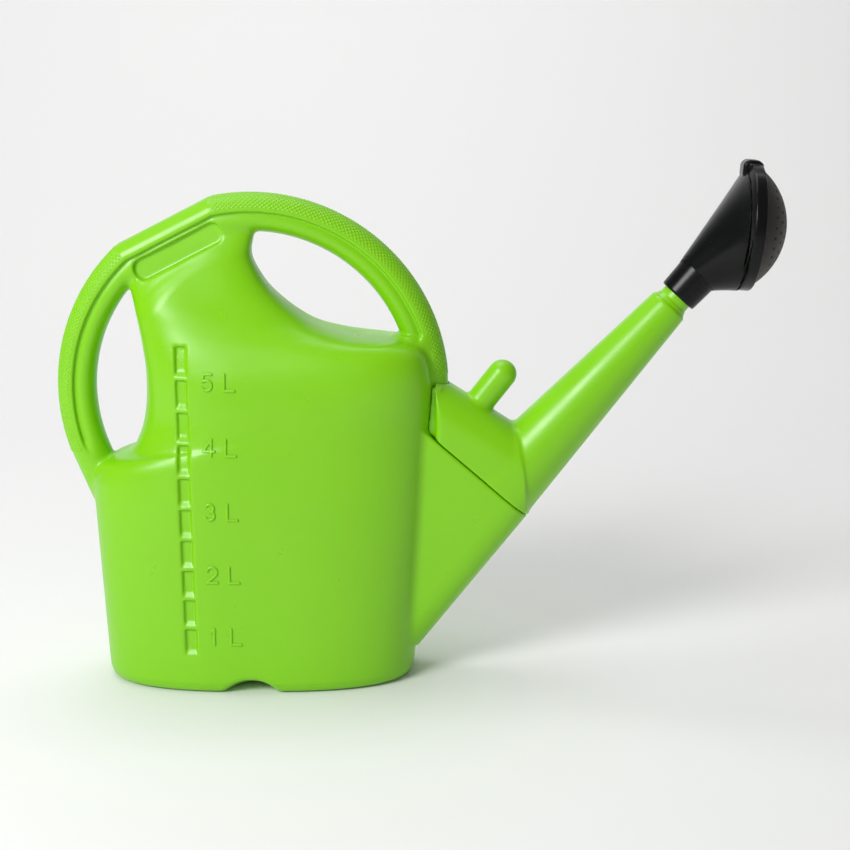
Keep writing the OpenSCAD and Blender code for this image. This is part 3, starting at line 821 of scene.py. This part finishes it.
def pale(name, level):
    material, tree, shader = node_material(name)
    stops = [(0.2, scaled((level, level, level), 0.995)), (0.8, (level, level, level * 0.995, 1))]
    tree.links.new(ramp(tree, noise(tree, 2.0, 2.0), stops), shader.inputs["Base Color"])
    shader.inputs["Roughness"].default_value = 0.7
    shader.inputs["Specular IOR Level"].default_value = 0.2
    return material


def sweep():
    """Floor that curves up into a backdrop behind the object."""
    back, bend, height, half = 2.4, 1.6, 5.0, 6.0
    profile = [(-7.0, 0.0), (back - bend, 0.0)]
    profile += [(back - bend + bend * math.sin(a * DEG), bend - bend * math.cos(a * DEG))
                for a in range(6, 91, 6)]
    profile += [(back, height)]
    points = [(x, y, z) for y, z in profile for x in (-half, half)]
    faces = [(2 * i, 2 * i + 1, 2 * i + 3, 2 * i + 2) for i in range(len(profile) - 1)]
    mesh = bpy.data.meshes.new("sweep")
    mesh.from_pydata(points, [], faces)
    mesh.polygons.foreach_set("use_smooth", np.ones(len(faces), bool))
    mesh.materials.append(pale("pale_floor", 0.86))
    obj = bpy.data.objects.new("sweep", mesh)
    bpy.context.scene.collection.objects.link(obj)
    obj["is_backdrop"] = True


def area_light(name, at, target, size, power, colour=(1, 1, 1)):
    data = bpy.data.lights.new(name, "AREA")
    data.shape = "RECTANGLE"
    data.size, data.size_y = size
    data.energy = power
    data.color = colour
    obj = bpy.data.objects.new(name, data)
    obj.location = at
    obj.rotation_euler = (Vector(target) - Vector(at)).to_track_quat("-Z", "Y").to_euler()
    bpy.context.scene.collection.objects.link(obj)


sweep()
middle = (0.05, 0.0, 0.2)
area_light("key", (-1.2, -1.55, 1.4), middle, (0.9, 0.9), 41)
area_light("front_fill", (-0.6, -2.6, 1.0), middle, (2.0, 1.4), 4)
area_light("top", (-0.3, 0.3, 2.6), middle, (1.8, 1.4), 20)
area_light("backdrop", (0.0, 0.9, 2.4), (0.0, 2.4, 0.9), (3.0, 0.8), 18.5)

world = bpy.data.worlds.new("studio")
bpy.context.scene.world = world
world.use_nodes = True
world.node_tree.nodes["Background"].inputs["Color"].default_value = (1, 1, 1, 1)
world.node_tree.nodes["Background"].inputs["Strength"].default_value = 0.24
bpy.context.scene.view_settings.view_transform = "Standard"

camera_data = bpy.data.cameras.new("camera")
camera_data.sensor_width = 36
camera_data.lens = 18 / math.tan(14 * DEG)
camera = bpy.data.objects.new("camera", camera_data)
camera.location = (0.1218, -1.2213, 0.4529)
aim = Vector((0.1218, 0, 0.1867)) - camera.location
camera.rotation_euler = aim.to_track_quat("-Z", "Y").to_euler()
bpy.context.scene.collection.objects.link(camera)
bpy.context.scene.camera = camera

low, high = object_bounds()
